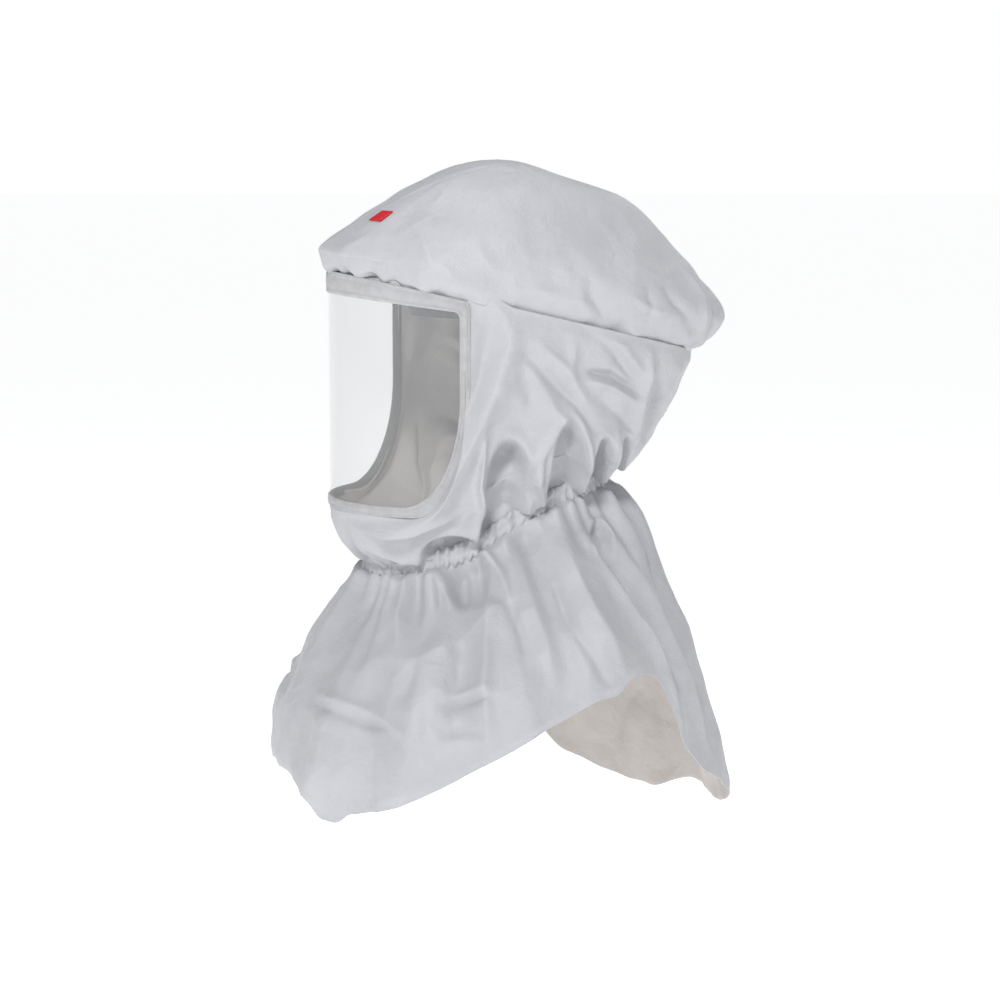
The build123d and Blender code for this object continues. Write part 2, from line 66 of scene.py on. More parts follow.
# ---------------------------------------------------------------- shape of the fabric, millimetres
# height at the ring centre, slope, front, back, half width, squareness
NECK_SHAPE = (-0.32, 141, -74, 81, 2.2)    # the same without the height
CROWN_SECTIONS = [
    (-16, 0.237, 170, -151, 112, 2.3),
    (9, 0.17, 182, -186, 117, 2.3),
    (32, 0.12, 173, -166, 112, 2.25),
    (62, 0.08, 139, -131, 97, 2.2),
    (92, 0.04, 102, -88, 74, 2.1),
    (112, 0.02, 62, -26, 43, 2.0),
    (119.5, 0.01, 42, 4, 22, 2.0),
    (122.0, 0.0, 22, 22, 0.1, 2.0),
]
SIDE_SECTIONS = [
    (12, 0.15, 171, -155, 112.5, 2.3),
    (-16, 0.237, 170, -151, 112, 2.3),
    (-60, 0.10, 170, -140, 112, 2.3),
    (-105, -0.05, 170, -126, 112, 2.3),
    (-145, -0.19, 170, -111, 107, 2.3),
    (-163, -0.26, 163, -97, 93, 2.25),
    (-175, *NECK_SHAPE),
]
SEAM_V = 1 / 6            # where the crown seam lies on the side sections
NECK_HEIGHT = -179.5      # middle of the neck casing at the ring centre
NECK_MIDDLE = np.array([0, -27.5])
NECK_PINCH = 0.035        # share by which cloth is drawn in at the elastic
CLOTH = 0.0006            # cloth thickness, metres
TAB_CENTRE = np.array([26, -134, 75])
CAPE_SECTIONS = [
    (-184, *NECK_SHAPE),
    (-226, -0.25, 168, -105, 125, 2.15),
    (-275, -0.18, 192, -124, 172, 2.15),
    (-335, -0.10, 216, -150, 197, 2.2),
    (-400, -0.03, 223, -172, 205, 2.2),
    (-470, 0.0, 214, -194, 203, 2.2),
    (-500, 0.0, 210, -200, 202, 2.2),
]
HEM_LEFT = [(240, -398), (222, -400), (215, -408), (212, -430), (202, -432), (197, -421),
            (158, -402), (107, -372), (38, -336), (-5, -318), (-28, -316), (-34, -308), (-51, -302),
            (-74, -306), (-86, -324), (-92, -358), (-121, -392), (-157, -423), (-186, -450),
            (-240, -452)]
HEM_RIGHT = [(240, -398), (222, -400), (202, -425), (160, -418), (107, -396), (38, -372),
             (-5, -362), (-40, -370), (-74, -412), (-100, -446), (-132, -460), (-158, -468),
             (-176, -467), (-186, -452), (-240, -450)]
VISOR_RADIUS = 105.3
VISOR_CENTRE = 64.7
VISOR_SIDE = 88.0
LENS_TOP_LINE = (-17.8, 0.146)
BAND_TOP_LINE = (-15.7, 0.237)
VISOR_BOTTOM = -168.0
VISOR_CORNER = (46.0, 92.0)
TAPE_WIDTH = 8.0
PORT_CENTRE = (-125.6, -100.0)
PORT_TILT = math.radians(30)
PORT_HOLE = 24.0
# neck line seen from the side: forward, lift above the straight line of the casing
NECK_LINE = [(-90, 3), (-50, 8), (-10, 12), (30, 9), (66, -4), (92, -7), (120, -5), (145, 0)]


def power(value, exponent):
    """Signed power, for superellipses."""
    return np.sign(value) * np.abs(value) ** exponent


def smooth(t):
    """Smooth step from 0 to 1."""
    t = np.clip(t, 0, 1)
    return t * t * (3 - 2 * t)


class Tube:
    """Fabric tube through sections: v runs from 0 to 1 over them, angle runs round from the front."""

    def __init__(self, sections):
        self.rows = np.array(sections, float)

    def point(self, angle, v):
        angle, v = np.broadcast_arrays(np.asarray(angle, float), np.asarray(v, float))
        last = len(self.rows) - 1
        x = np.clip(v, 0, 1) * last
        i = np.minimum(x.astype(int), last - 1)
        t = (x - i)[..., None]
        p0, p1 = self.rows[np.maximum(i - 1, 0)], self.rows[i]
        p2, p3 = self.rows[i + 1], self.rows[np.minimum(i + 2, last)]
        spec = 0.5 * (2 * p1 + (p2 - p0) * t + (2 * p0 - 5 * p1 + 4 * p2 - p3) * t ** 2
                      + (3 * p1 - p0 - 3 * p2 + p3) * t ** 3)
        height, slope, front, back, half_width, squareness = np.moveaxis(spec, -1, 0)
        centre, half_length = (front + back) / 2, (front - back) / 2
        forward = centre + half_length * power(np.cos(angle), 2 / squareness)
        side = half_width * power(np.sin(angle), 2 / squareness)
        return np.stack([side, -forward, height + slope * forward], -1)


CROWN = Tube(CROWN_SECTIONS)
SIDE = Tube(SIDE_SECTIONS)
CAPE = Tube(CAPE_SECTIONS)


# ---------------------------------------------------------------- noise and folds
class Noise:
    """Smooth repeatable noise in space, about -1 to 1."""
    SIZE = 32

    def __init__(self, seed):
        self.table = np.random.default_rng(seed).uniform(-1, 1, (self.SIZE,) * 3)

    def __call__(self, points, scale):
        turned = points @ np.array([[0.80, 0.36, -0.48], [-0.60, 0.48, -0.64], [0.0, 0.80, 0.60]])
        p = turned / scale + 100.0
        cell = np.floor(p).astype(int)
        f = p - cell
        f = f ** 3 * (f * (6 * f - 15) + 10)
        total = 0.0
        for dx in (0, 1):
            for dy in (0, 1):
                for dz in (0, 1):
                    weight = (np.abs(1 - dx - f[..., 0]) * np.abs(1 - dy - f[..., 1])
                              * np.abs(1 - dz - f[..., 2]))
                    index = [(cell[..., k] + d) % self.SIZE for k, d in enumerate((dx, dy, dz))]
                    total = total + weight * self.table[index[0], index[1], index[2]]
        return total


def creases(points, seed, scale):
    """Crumpled cloth: soft hollows between sharp meandering ridges, about -1 to 1."""
    bend = np.stack([Noise(seed + k)(points, scale * 1.9) for k in range(3)], -1)
    moved = points + bend * scale * 0.5
    return 1 - 2.6 * np.abs(Noise(seed + 5)(moved, scale))


def facets(points, seed, scale):
    """Stiff crumpled sheet: hollows that meet in straight sharp ridges, about -0.6 to 1."""
    table = np.random.default_rng(seed).uniform(-0.45, 0.45, (32, 32, 32, 3))
    p = points * np.array([1.0, 1.0, 0.62]) / scale + 100.0
    cell = np.floor(p).astype(int)
    best = np.full(points.shape[:-1], 9.0)
    for dx in (-1, 0, 1):
        for dy in (-1, 0, 1):
            for dz in (-1, 0, 1):
                near = cell + (dx, dy, dz)
                spot = near + 0.5 + table[near[..., 0] % 32, near[..., 1] % 32, near[..., 2] % 32]
                best = np.minimum(best, np.sum((p - spot) ** 2, axis=-1))
    return 2.2 * best - 0.6


def along(points, path):
    """Distance from side-view points to a path, and how far along it the nearest place is."""
    best = np.full(points.shape[:-1], 1e9)
    place = np.zeros(points.shape[:-1])
    legs = len(path) - 1
    for k, (a, b) in enumerate(zip(path, path[1:])):
        a, b = np.array(a, float), np.array(b, float)
        run = b - a
        t = np.clip(((points - a) @ run) / (run @ run), 0, 1)
        away = np.linalg.norm(points - a - t[..., None] * run, axis=-1)
        nearer = away < best
        best = np.where(nearer, away, best)
        place = np.where(nearer, (k + t) / legs, place)
    return best, place


def fold(points, path, width, height, sharp=0.5):
    """A fold along a side-view path: sharp is how crisp its crest is, from 0 to 1."""
    away, place = along(points, path)
    t = away / width
    crest = (1 - sharp) * np.exp(-1.6 * t ** 2) + sharp * np.exp(-2.0 * t)
    return height * crest * np.sin(np.pi * np.clip(0.12 + 0.76 * place, 0, 1)) ** 0.8


def pocket(points, centre, size, depth, rim):
    """An arched hollow with a raised rim, open downwards, where gathered cloth is tucked in."""
    away = (points - np.array(centre)) / np.array(size)
    t = np.hypot(away[..., 0], np.maximum(away[..., 1], 0))
    fade = smooth((away[..., 1] + 1.6) / 0.8)
    hollow = -depth * smooth((1.12 - t) / 0.45) * (0.75 + 0.25 * np.clip(away[..., 1], -1, 1))
    return (hollow + rim * np.exp(-((t - 1.2) / 0.16) ** 2)) * fade


def side_view(points):
    """(forward, height) of each point."""
    return np.stack([-points[..., 1], points[..., 2]], -1)


# ---------------------------------------------------------------- mesh helpers
def make_object(name, verts_mm, faces):
    """Mesh object from millimetre points."""
    mesh = bpy.data.meshes.new(name)
    mesh.from_pydata((np.asarray(verts_mm).reshape(-1, 3) * MM).tolist(), [], faces)
    mesh.update()
    mesh.validate()
    obj = bpy.data.objects.new(name, mesh)
    bpy.context.scene.collection.objects.link(obj)
    mesh.polygons.foreach_set("use_smooth", [True] * len(mesh.polygons))
    return obj


def grid_faces(rows, cols, wrap=False):
    """Quads over a grid of rows by cols points."""
    faces = []
    for r in range(rows - 1):
        for c in range(cols if wrap else cols - 1):
            d = (c + 1) % cols
            faces.append((r * cols + c, r * cols + d, (r + 1) * cols + d, (r + 1) * cols + c))
    return faces


def normals_of(grid, wrap=False):
    """Unit normals of a grid of points, facing away from the head."""
    if wrap:
        du = np.roll(grid, -1, 1) - np.roll(grid, 1, 1)
    else:
        du = np.gradient(grid, axis=1)
    dv = np.gradient(grid, axis=0)
    n = np.cross(du, dv)
    n /= np.maximum(np.linalg.norm(n, axis=-1, keepdims=True), 1e-9)
    centre = np.array([0, -15.0, min(grid[..., 2].mean(), 20)])
    if np.sum(n * (grid - centre)) < 0:
        n = -n
    return n


def relax(grid, rounds, wrap=False):
    """Evens a grid out a little."""
    for _ in range(rounds):
        moved = grid.copy()
        inner = (grid[:-2] + grid[2:]) / 2
        moved[1:-1] = 0.5 * moved[1:-1] + 0.5 * inner
        if wrap:
            around = (np.roll(grid, 1, 1) + np.roll(grid, -1, 1)) / 2
            moved[1:-1] = 0.5 * moved[1:-1] + 0.5 * around[1:-1]
        else:
            moved[1:-1, 1:-1] = (0.5 * moved[1:-1, 1:-1]
                                 + 0.25 * (grid[1:-1, :-2] + grid[1:-1, 2:]))
        grid = moved
    return grid


def thicken(obj, thickness, lining=None):
    """Gives a sheet its thickness, inwards, with its lining on the inside."""
    solid = obj.modifiers.new("thickness", "SOLIDIFY")
    solid.thickness = thickness
    solid.offset = -1
    if lining:
        obj.data.materials.append(lining)
        solid.material_offset = 1


def finish_piece(obj, body, slot, *replaced):
    """Attaches a new piece to its body and hides the CAD nodes that it replaces."""
    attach(obj, body)
    if replaced:
        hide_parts(*replaced)


# ---------------------------------------------------------------- materials
class Nodes:
    """Short way to build a material's node tree."""

    def __init__(self, name):
        self.material = bpy.data.materials.new(name)
        self.material.use_nodes = True
        self.tree = self.material.node_tree
        self.shader = self.tree.nodes["Principled BSDF"]

    def add(self, kind, **settings):
        node = self.tree.nodes.new("ShaderNode" + kind)
        for key, value in settings.items():
            if key in node.inputs:
                node.inputs[key].default_value = value
            else:
                setattr(node, key.lower(), value)
        return node

    def link(self, out, into):
        self.tree.links.new(out, into)

    def set(self, **values):
        for key, value in values.items():
            self.shader.inputs[key.replace("_", " ")].default_value = value

    def position(self):
        return self.add("TexCoord").outputs["Object"]

    def noise(self, scale, detail=3.0, rough=0.55, vector=None, distortion=0.0):
        node = self.add("TexNoise", Scale=scale, Detail=detail, Roughness=rough, Distortion=distortion)
        self.link(vector or self.position(), node.inputs["Vector"])
        return node.outputs["Fac"]

    def stretched(self, scale):
        node = self.add("Mapping")
        node.inputs["Scale"].default_value = scale
        self.link(self.position(), node.inputs["Vector"])
        return node.outputs["Vector"]

    def ramp(self, value, stops):
        node = self.add("ValToRGB")
        elements = node.color_ramp.elements
        elements[0].position, elements[0].color = stops[0][0], (*stops[0][1], 1)
        elements[1].position, elements[1].color = stops[-1][0], (*stops[-1][1], 1)
        for place, colour in stops[1:-1]:
            elements.new(place).color = (*colour, 1)
        self.link(value, node.inputs["Fac"])
        return node.outputs["Color"]

    def span(self, value, low, high):
        node = self.add("MapRange")
        node.inputs["To Min"].default_value = low
        node.inputs["To Max"].default_value = high
        self.link(value, node.inputs["Value"])
        return node.outputs["Result"]

    def maths(self, operation, a, b):
        node = self.add("Math")
        node.operation = operation
        for socket, value in zip(node.inputs, (a, b)):
            if isinstance(value, (int, float)):
                socket.default_value = value
            else:
                self.link(value, socket)
        return node.outputs[0]

    def bump(self, heights):
        """heights is a list of (value socket, metres); they're stacked."""
        last = None
        for value, distance in heights:
            node = self.add("Bump", Strength=1.0, Distance=distance)
            self.link(value, node.inputs["Height"])
            if last:
                self.link(last, node.inputs["Normal"])
            last = node.outputs["Normal"]
        self.link(last, self.shader.inputs["Normal"])


def coated_fabric(name, light, dark, rough, sheen):
    """Coated nonwoven: fine fibres, a faint bonded grid and small crumples."""
    m = Nodes(name)
    fibres = m.noise(1400.0, 2.0, 0.6, m.stretched((1.0, 1.0, 0.35)))
    cloudy = m.noise(26.0, 4.0, 0.6)
    mixed = m.maths("ADD", m.maths("MULTIPLY", fibres, 0.35), m.maths("MULTIPLY", cloudy, 0.65))
    m.link(m.ramp(mixed, [(0.32, dark), (0.62, light)]), m.shader.inputs["Base Color"])
    m.link(m.span(m.noise(60.0, 3.0), rough - 0.1, rough + 0.12), m.shader.inputs["Roughness"])
    dots = m.add("TexVoronoi", Scale=620.0)
    m.link(m.position(), dots.inputs["Vector"])
    crumple = m.noise(55.0, 5.0, 0.55, distortion=0.6)
    m.bump([(crumple, 0.0016), (dots.outputs["Distance"], 0.00012), (fibres, 0.00014)])
    m.set(Sheen_Weight=sheen, Sheen_Roughness=0.45, Specular_IOR_Level=0.42)
    return m.material


def woven_tape(name, colour, ribs):
    """Ribbed binding tape or elastic."""
    m = Nodes(name)
    wave = m.add("TexWave", Scale=ribs, Distortion=1.2)
    wave.bands_direction = "Z"
    m.link(m.position(), wave.inputs["Vector"])
    cross = m.add("TexWave", Scale=ribs * 0.8, Distortion=0.8)
    cross.bands_direction = "DIAGONAL"
    m.link(m.position(), cross.inputs["Vector"])
    dark = tuple(c * 0.86 for c in colour)
    m.link(m.ramp(m.noise(90.0, 3.0), [(0.3, dark), (0.65, colour)]), m.shader.inputs["Base Color"])
    m.link(m.span(m.noise(70.0), 0.5, 0.7), m.shader.inputs["Roughness"])
    m.bump([(wave.outputs["Fac"], 0.00018), (cross.outputs["Fac"], 0.00012)])
    m.set(Sheen_Weight=0.25, Sheen_Roughness=0.5)
    return m.material


def moulded_plastic(name, colour, rough, grain=900.0, wear=0.25):
    """Textured moulding with lighter rubbed places."""
    m = Nodes(name)
    light = tuple(min(1.0, c + (1 - c) * wear * 0.4) for c in colour)
    rubbed = m.noise(38.0, 5.0, 0.65)
    m.link(m.ramp(rubbed, [(0.45, colour), (0.75, light)]), m.shader.inputs["Base Color"])
    m.link(m.span(m.noise(120.0, 4.0), rough - 0.08, rough + 0.1), m.shader.inputs["Roughness"])
    m.bump([(m.noise(grain, 2.0), 0.00008), (m.noise(60.0, 2.0), 0.00015)])
    m.set(Specular_IOR_Level=0.45)
    return m.material


def foam_knit(name, colour):
    """Foam pad covered in fine knit."""
    m = Nodes(name)
    cells = m.add("TexVoronoi", Scale=480.0)
    m.link(m.position(), cells.inputs["Vector"])
    light = tuple(min(1.0, c * 1.5) for c in colour)
    m.link(m.ramp(cells.outputs["Distance"], [(0.1, light), (0.6, colour)]),
           m.shader.inputs["Base Color"])
    m.link(m.span(m.noise(200.0), 0.8, 0.95), m.shader.inputs["Roughness"])
    m.bump([(cells.outputs["Distance"], 0.0003), (m.noise(90.0, 4.0), 0.0006)])
    m.set(Sheen_Weight=0.4, Sheen_Roughness=0.5, Specular_IOR_Level=0.2)
    return m.material


def clear_sheet(name):
    """Thin clear plastic, nearly invisible face on and glossy at a slant."""
    m = Nodes(name)
    smudge = m.noise(14.0, 4.0, 0.6)
    m.link(m.ramp(smudge, [(0.3, (0.74, 0.76, 0.77)), (0.7, (0.82, 0.83, 0.84))]),
           m.shader.inputs["Base Color"])
    m.link(m.span(smudge, 0.04, 0.12), m.shader.inputs["Roughness"])
    m.set(Alpha=0.13, Specular_IOR_Level=0.6, Coat_Weight=0.4, Coat_Roughness=0.05)
    return m.material


HOOD_OUT = coated_fabric("hood_fabric_outer", (0.53, 0.535, 0.56), (0.49, 0.495, 0.52), 0.48, 0.12)
HOOD_IN = coated_fabric("hood_fabric_lining", (0.55, 0.515, 0.495), (0.48, 0.45, 0.43), 0.6, 0.15)
# dark grey for the white tape's inner faces: painted shade, not the tape's own colour
TAPE_PAINTED_SHADE = woven_tape("tape_inside_painted_shade", (0.22, 0.215, 0.21), 700.0)
TAPE = woven_tape("white_tape", (0.66, 0.66, 0.68), 700.0)
ELASTIC = woven_tape("white_elastic", (0.76, 0.76, 0.74), 420.0)
LENS = clear_sheet("clear_lens")
TAB = moulded_plastic("tab_red", (0.62, 0.012, 0.02), 0.4, wear=0.1)
BY_SLOT = {
    "harness": moulded_plastic("harness_plastic", (0.035, 0.038, 0.042), 0.5),
    "duct": moulded_plastic("duct_plastic", (0.085, 0.088, 0.095), 0.45),
    "knob": moulded_plastic("knob_plastic", (0.02, 0.02, 0.022), 0.42),
    "slider": moulded_plastic("slider_plastic", (0.02, 0.10, 0.26), 0.4),
    "seal": moulded_plastic("seal_rubber", (0.012, 0.012, 0.012), 0.6),
    "bow": moulded_plastic("bow_plastic", (0.6, 0.6, 0.6), 0.4),
    "foam": foam_knit("knit_foam", (0.035, 0.038, 0.045)),
    "lens": LENS,
    "elastic": ELASTIC,
    "seam_tape": TAPE,
    "tab": TAB,
    "hood_fabric": HOOD_OUT,
}


def dress_cad_nodes():
    """Gives each carried-over CAD node the material of its slot."""
    slots = {part["node"]: part["material_slot"] for part in frame["record"]["subparts"]}
    for node, obj in frame["nodes"].items():
        mesh = obj.data
        if not len(mesh.materials):
            mesh.materials.append(None)
        for k in range(len(obj.material_slots)):
            obj.material_slots[k].link = "OBJECT"
            obj.material_slots[k].material = BY_SLOT[slots[node]]


# ---------------------------------------------------------------- neck line
def neck_warp(points):
    """The neck line is curved, not flat: lifts or drops what is near it."""
    forward = -points[..., 1]
    plane = -179.0 - 0.32 * forward
    line = np.array(NECK_LINE, float)
    lift = sum(np.interp(forward + d, line[:, 0], line[:, 1]) for d in (-8, -4, 0, 4, 8)) / 5
    near = np.exp(-((points[..., 2] - plane) / 48.0) ** 2)
    moved = points.copy()
    moved[..., 2] += lift * near
    return moved


def both_sides(points, seed):
    """Side view of the points, pulled about on the far side so that the two sides differ."""
    view = side_view(points)
    far = smooth((-points[..., 0] - 5) / 30)[..., None]
    shift = np.stack([Noise(seed)(points, 60.0) * 14 + 6, Noise(seed + 1)(points, 60.0) * 10], -1)
    return view + far * shift


def pleat_wave(angle, seed, waves):
    """Irregular gathers round the neck, -1 to 1, the same above and below the elastic."""
    rng = np.random.default_rng(seed)
    bend = sum(rng.uniform(0.2, 0.5) * np.sin(k * angle + rng.uniform(0, 6.28)) for k in (2, 3, 5, 7))
    wave = np.cos(waves * angle + 2.2 * bend)
    return np.sign(wave) * np.abs(wave) ** 0.75


# ---------------------------------------------------------------- crown panel
CROWN_FOLDS = [
    # path in (forward, height), width, height, sharpness
    ([(150, 58), (115, 82), (92, 96), (56, 112)], 6, 1.8, 0.7),
    ([(118, 62), (113, 48), (110, 28)], 7, 3.0, 0.6),
    ([(160, 42), (136, 48), (112, 44)], 14, -3.0, 0.3),
    ([(130, 30), (96, 20), (70, 12)], 12, 2.6, 0.4),
    ([(90, 60), (40, 58), (-20, 40)], 22, 2.4, 0.3),
    ([(40, 14), (0, 8), (-30, -6)], 12, 2.6, 0.4),
    ([(-24, 24), (-26, 4), (-38, -12), (-60, -26)], 6, -3.6, 0.6),
    ([(-14, 20), (-16, 2), (-26, -14)], 6, 2.6, 0.6),
    ([(-20, 66), (-70, 50), (-120, 20)], 20, -3.0, 0.3),
    ([(-62, 6), (-76, -2), (-95, -10)], 5, 3.0, 0.7),
    ([(-78, 14), (-84, -4), (-80, -22)], 5, -2.6, 0.6),
    ([(-98, 14), (-116, -8), (-136, -32)], 7, -4.5, 0.6),
    ([(-120, 30), (-142, 2), (-146, -40)], 7, 5.0, 0.7),
    ([(-150, 24), (-160, -4), (-158, -36)], 6, -4.5, 0.6),
    ([(-60, 34), (-100, 24), (-140, 30)], 12, 3.4, 0.4),
]


def crown_panel():
    """Domed cap that overhangs the visor, with a soft brim and a pointed rear."""
    side = 210
    t = np.linspace(-1, 1, side)
    a, b = np.meshgrid(t, t)
    wide = np.abs(a) > np.abs(b)
    radius = np.maximum(np.abs(a), np.abs(b))
    with np.errstate(divide="ignore", invalid="ignore"):
        turn = np.where(wide, (np.pi / 4) * b / a, np.pi / 2 - (np.pi / 4) * a / b)
    turn = np.nan_to_num(turn)
    flip = np.where(wide, a < 0, b < 0)
    angle = turn + np.where(flip, np.pi, 0)
    v = 1 - radius
    grid = CROWN.point(angle, v)
    view = both_sides(grid, 15)
    n = normals_of(grid)
    height = np.zeros(grid.shape[:-1])
    for path, width, rise, sharp in CROWN_FOLDS:
        height += fold(view, path, width, rise, sharp)
    height += 2.0 * Noise(3)(grid, 75.0) + 2.6 * facets(grid, 11, 58.0) * smooth(radius * 1.4 + 0.2)
    height += 0.8 * creases(grid, 23, 27.0) * smooth(radius * 1.6 - 0.2)
    front = smooth((-grid[..., 1] - 60) / 60)
    beside_visor = np.exp(-((-grid[..., 1] - 85) / 38) ** 2) * smooth((np.abs(grid[..., 0]) - 60) / 25)
    near_edge = np.exp(-((radius - 0.93) / 0.07) ** 2)
    height -= 2.5 * (1 - beside_visor)
    height -= 4.0 * np.exp(-((radius - 0.86) / 0.09) ** 2) * (1 - beside_visor)
    height += 2.5 * beside_visor * near_edge
    # puckers towards the sewn edge, strongest over the visor
    edge = smooth((radius - 0.82) / 0.18)
    pucker = pleat_wave(angle, 5, 34) * (0.8 + 0.4 * front) + 1.0 * pleat_wave(angle, 8, 19)
    height += pucker * edge - 2.5 * edge * (1 - front)
    # raised seam along the front ridge
    seam = np.exp(-((np.abs(grid[..., 0]) - 30.0 * smooth((grid[..., 2] - 40) / 90)) / 2.2) ** 2)
    height += 0.9 * seam * smooth((-grid[..., 1] - 20) / 30) * smooth((1 - radius) * 8)
    tab = np.exp(-(np.sum((grid - TAB_CENTRE) ** 2, axis=-1) / 22.0 ** 2) ** 2)
    grid = grid + n * (height * (1 - tab))[..., None]
    # a soft lip overhangs the visor's band in front, and the rear corner hangs over the seam
    lip = np.exp(-((radius - 0.925) / 0.035) ** 2) * front
    grid[..., 2] -= lip * (3.5 + 1.6 * pleat_wave(angle, 9, 9))
    rear = smooth((grid[..., 1] - 90) / 60) * np.exp(-((radius - 0.93) / 0.04) ** 2)
    grid[..., 2] -= 5.0 * rear
    grid = relax(grid, 2)
    obj = make_object("crown_panel_cloth", grid, grid_faces(side, side))
    obj.data.materials.append(HOOD_OUT)
    thicken(obj, CLOTH, HOOD_IN)
    finish_piece(obj, ROOT, "hood_fabric", "crown_panel")


# ---------------------------------------------------------------- side panels
SIDE_FOLDS = [
    # path in (forward, height), width, height, sharpness
    ([(42, -16), (58, -66), (81, -117), (103, -164), (142, -192)], 12, 8.5, 0.35),
    ([(64, -12), (72, -60), (88, -104)], 10, -4.0, 0.3),
    ([(36, -40), (30, -80), (44, -108)], 16, -4.0, 0.2),
    ([(32, -40), (8, -65), (-9, -81), (-30, -106)], 6, -5.0, 0.6),
    ([(30, -50), (8, -88), (-24, -118)], 7, 5.0, 0.6),
    ([(24, -30), (0, -52), (-22, -84)], 7, 4.0, 0.5),
    ([(-18, -22), (-44, -36), (-56, -51), (-76, -72)], 6, -4.5, 0.6),
    ([(-30, -18), (-56, -36), (-74, -60)], 6, 4.0, 0.6),
    ([(-24, -56), (-45, -60), (-76, -77)], 4.5, -5.5, 0.7),
    ([(-24, -64), (-46, -70), (-70, -84)], 4.5, 4.5, 0.7),
    ([(-36, -80), (-56, -96), (-72, -112)], 8, -3.0, 0.4),
    ([(-82, -28), (-83, -59), (-78, -85), (-73, -116)], 6, 6.0, 0.6),
    ([(-97, -50), (-98, -80), (-88, -112)], 11, -5.0, 0.4),
    ([(-14, -14), (-9, -33), (-7, -58)], 6, 4.0, 0.6),
    ([(68, -112), (72, -150), (60, -190)], 4, 7.5, 0.7),
    ([(6, -102), (20, -128), (20, -148), (8, -166)], 5, 8.0, 0.6),
    ([(-19, -114), (-27, -140), (-28, -164)], 5.5, 7.5, 0.6),
    ([(-52, -112), (-54, -136), (-48, -158)], 6, 5.5, 0.5),
    ([(160, -190), (124, -188), (96, -178)], 7, 5.0, 0.5),
    ([(150, -206), (130, -210), (104, -212)], 6, 4.0, 0.5),
]
SIDE_POCKETS = [
    # centre in (forward, height), half sizes, depth, rim
    ((47, -154), (19, 40), 23, 1.2),
    ((-8, -142), (14, 46), 18, 1.2),
    ((-40, -144), (8, 30), 16, 0.8),
    ((87, -203), (24, 12), 17, 1.2),
    ((-64, -136), (6, 22), 10, 0.8),
]


def side_edges(count):
    """Upper edge of the side panels from the back, along the crown seam, down the visor and under
    it to the middle of the front, as (angle, v) rows."""
    edge_forward = VISOR_SIDE - TAPE_WIDTH + 4.0
    angles = np.linspace(np.pi, 0, 600)
    forward = -SIDE.point(angles, np.full(angles.shape, SEAM_V))[:, 1]
    seam_angles = angles[forward < edge_forward]
    rise = smooth((-SIDE.point(seam_angles, np.full(seam_angles.shape, SEAM_V))[:, 1] - 42) / 34)
    path = [np.stack([seam_angles, SEAM_V * (0.88 - 0.4 * rise)], -1)]
    # down the visor's side edge and round its lower corner, following its side outline
    low = VISOR_BOTTOM - TAPE_WIDTH + 4.0
    run, climb = VISOR_CORNER
    turn = np.linspace(0, np.pi / 2, 60)
    high = BAND_TOP_LINE[0] + BAND_TOP_LINE[1] * edge_forward + 3
    outline = [(edge_forward, h) for h in np.linspace(high, low + climb, 60, endpoint=False)]
    outline += [(edge_forward + run * (1 - np.cos(t)), low + climb * (1 - np.sin(t))) for t in turn]
    outline += [(f, low) for f in np.linspace(edge_forward + run, 168.5, 80)[1:]]
    path.append(np.array([on_side(f, h) for f, h in outline]))
    path.append(np.array([on_side(169.9, low)]) * np.array([[0, 1]]))
    whole = np.concatenate(path)
    spot = SIDE.point(whole[:, 0], whole[:, 1])
    gaps = np.linalg.norm(np.diff(spot, axis=0), axis=-1)
    length = np.concatenate([[0], np.cumsum(gaps)])
    even = np.linspace(0, length[-1], count)
    return np.stack([np.interp(even, length, whole[:, k]) for k in (0, 1)], -1)


def on_side(forward, height):
    """(angle, v) of the side panel's point at this side-view place, on the left side."""
    angle, v = 0.8, 0.5
    for _ in range(30):
        here = SIDE.point(angle, v)
        step = 1e-3
        da = (SIDE.point(angle + step, v) - here) / step
        dv = (SIDE.point(angle, v + step) - here) / step
        m = np.array([[-da[1], -dv[1]], [da[2], dv[2]]])
        miss = np.array([forward + here[1], height - here[2]])
        try:
            change = np.linalg.solve(m, miss)
        except np.linalg.LinAlgError:
            break
        angle = float(np.clip(angle + np.clip(change[0], -0.2, 0.2), 0.02, 3.1))
        v = float(np.clip(v + np.clip(change[1], -0.2, 0.2), 0.0, 0.999))
    return angle, v


